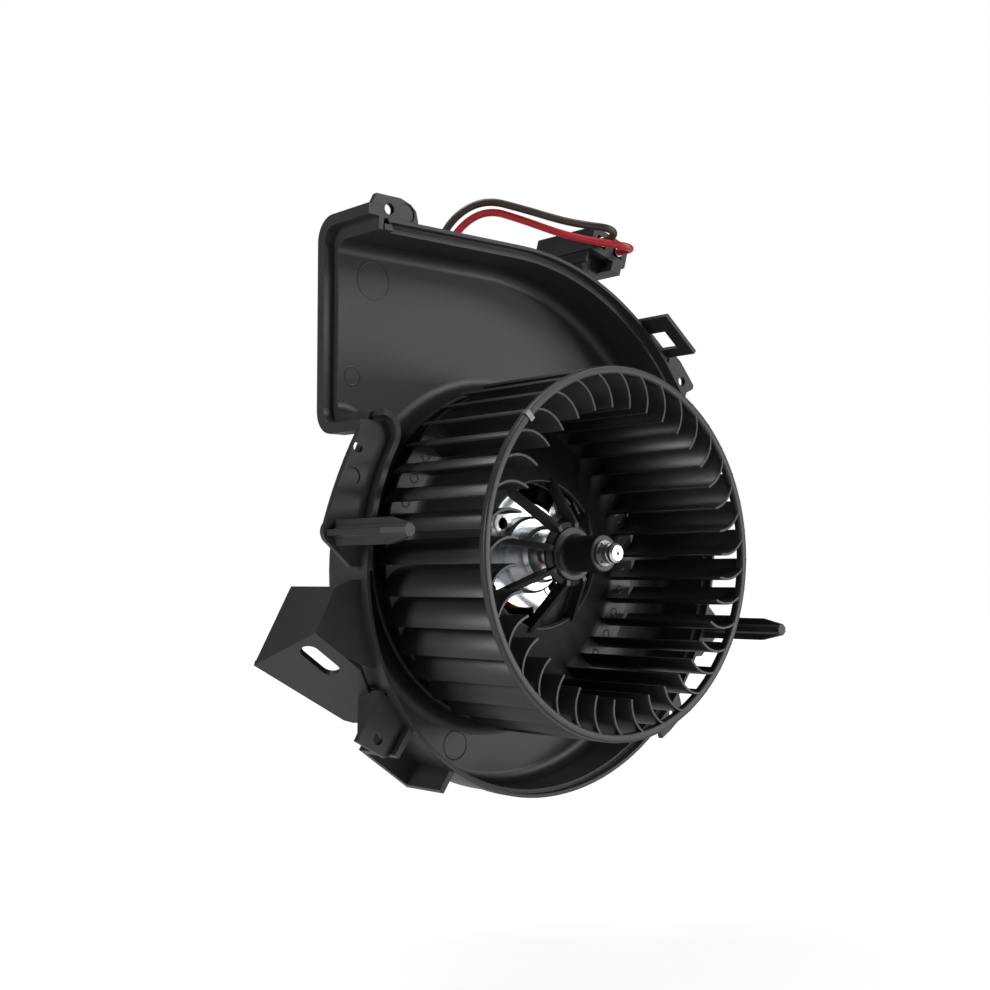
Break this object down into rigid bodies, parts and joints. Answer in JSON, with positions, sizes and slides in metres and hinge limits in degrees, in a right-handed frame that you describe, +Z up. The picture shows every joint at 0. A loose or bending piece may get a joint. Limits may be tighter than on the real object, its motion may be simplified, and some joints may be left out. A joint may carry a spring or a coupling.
{
  "type": "car cabin blower motor",
  "caption": "Car cabin heater blower: a black moulded scroll half with its motor and forward-curved fan wheel, two leads, a plug housing and mounting tabs.",
  "frame": {"origin": "on the wheel's axis, in the plane of the scroll's open rim", "axes": "+Z up as in the picture, +Y along the wheel's axis from the open side to the motor, +X to the right seen from the open side"},
  "size_m": [0.2384, 0.1384, 0.2647],
  "materials": {
    "black_housing": "satin",
    "wheel_plastic": "satin",
    "connector_plastic": "satin",
    "isolator_rubber": "matte",
    "can_steel": "satin",
    "shield_steel": "satin",
    "magnet_ferrite": "matte",
    "card_phenolic": "matte",
    "holder_brass": "satin",
    "spring_steel": "satin",
    "bearing_bronze": "matte",
    "brown_insulation": "satin",
    "red_insulation": "satin",
    "terminal_tin": "satin",
    "shaft_steel": "ground",
    "clip_steel": "satin",
    "core_steel": "matte",
    "winding_copper": "satin",
    "commutator_copper": "satin",
    "washer_fibre": "matte",
    "brush_carbon": "matte"
  },
  "bodies": {
    "housing": {"scroll_housing": "black_housing", "isolator_ring": "isolator_rubber", "motor_can": "can_steel", "motor_end_shield": "shield_steel", "magnet_left": "magnet_ferrite", "magnet_right": "magnet_ferrite", "brush_card": "card_phenolic", "brush_holder_upper": "holder_brass", "brush_holder_lower": "holder_brass", "brush_spring_upper": "spring_steel", "brush_spring_lower": "spring_steel", "front_bearing": "bearing_bronze", "rear_bearing": "bearing_bronze", "front_bearing_retainer": "spring_steel", "rear_bearing_retainer": "spring_steel", "lead_grommet": "isolator_rubber", "lead_brown": "brown_insulation", "lead_red": "red_insulation", "connector_body": "connector_plastic", "connector_terminals": "terminal_tin"},
    "rotor": {"blower_wheel": "wheel_plastic", "motor_shaft": "shaft_steel", "wheel_clip": "clip_steel", "armature_core": "core_steel", "armature_windings": "winding_copper", "commutator": "commutator_copper", "thrust_washer_front": "washer_fibre", "thrust_washer_rear": "washer_fibre", "balance_clip": "clip_steel"},
    "brush_upper": {"brush_upper": "brush_carbon"},
    "brush_lower": {"brush_lower": "brush_carbon"}
  },
  "joints": [
    {"name": "rotor_spin", "type": "hinge", "parent": "housing", "child": "rotor", "pos_m": [0, 0, 0], "axis": [0, 1, 0], "continuous": true},
    {"name": "brush_upper_slide", "type": "slide", "parent": "housing", "child": "brush_upper", "axis": [0, 0, 1], "range_m": [0, 0.004], "stiffness_N_per_m": 120, "springref_m": -0.008, "deforming": ["brush_spring_upper"]},
    {"name": "brush_lower_slide", "type": "slide", "parent": "housing", "child": "brush_lower", "axis": [0, 0, -1], "range_m": [0, 0.004], "stiffness_N_per_m": 120, "springref_m": -0.008, "deforming": ["brush_spring_lower"]}
  ]
}
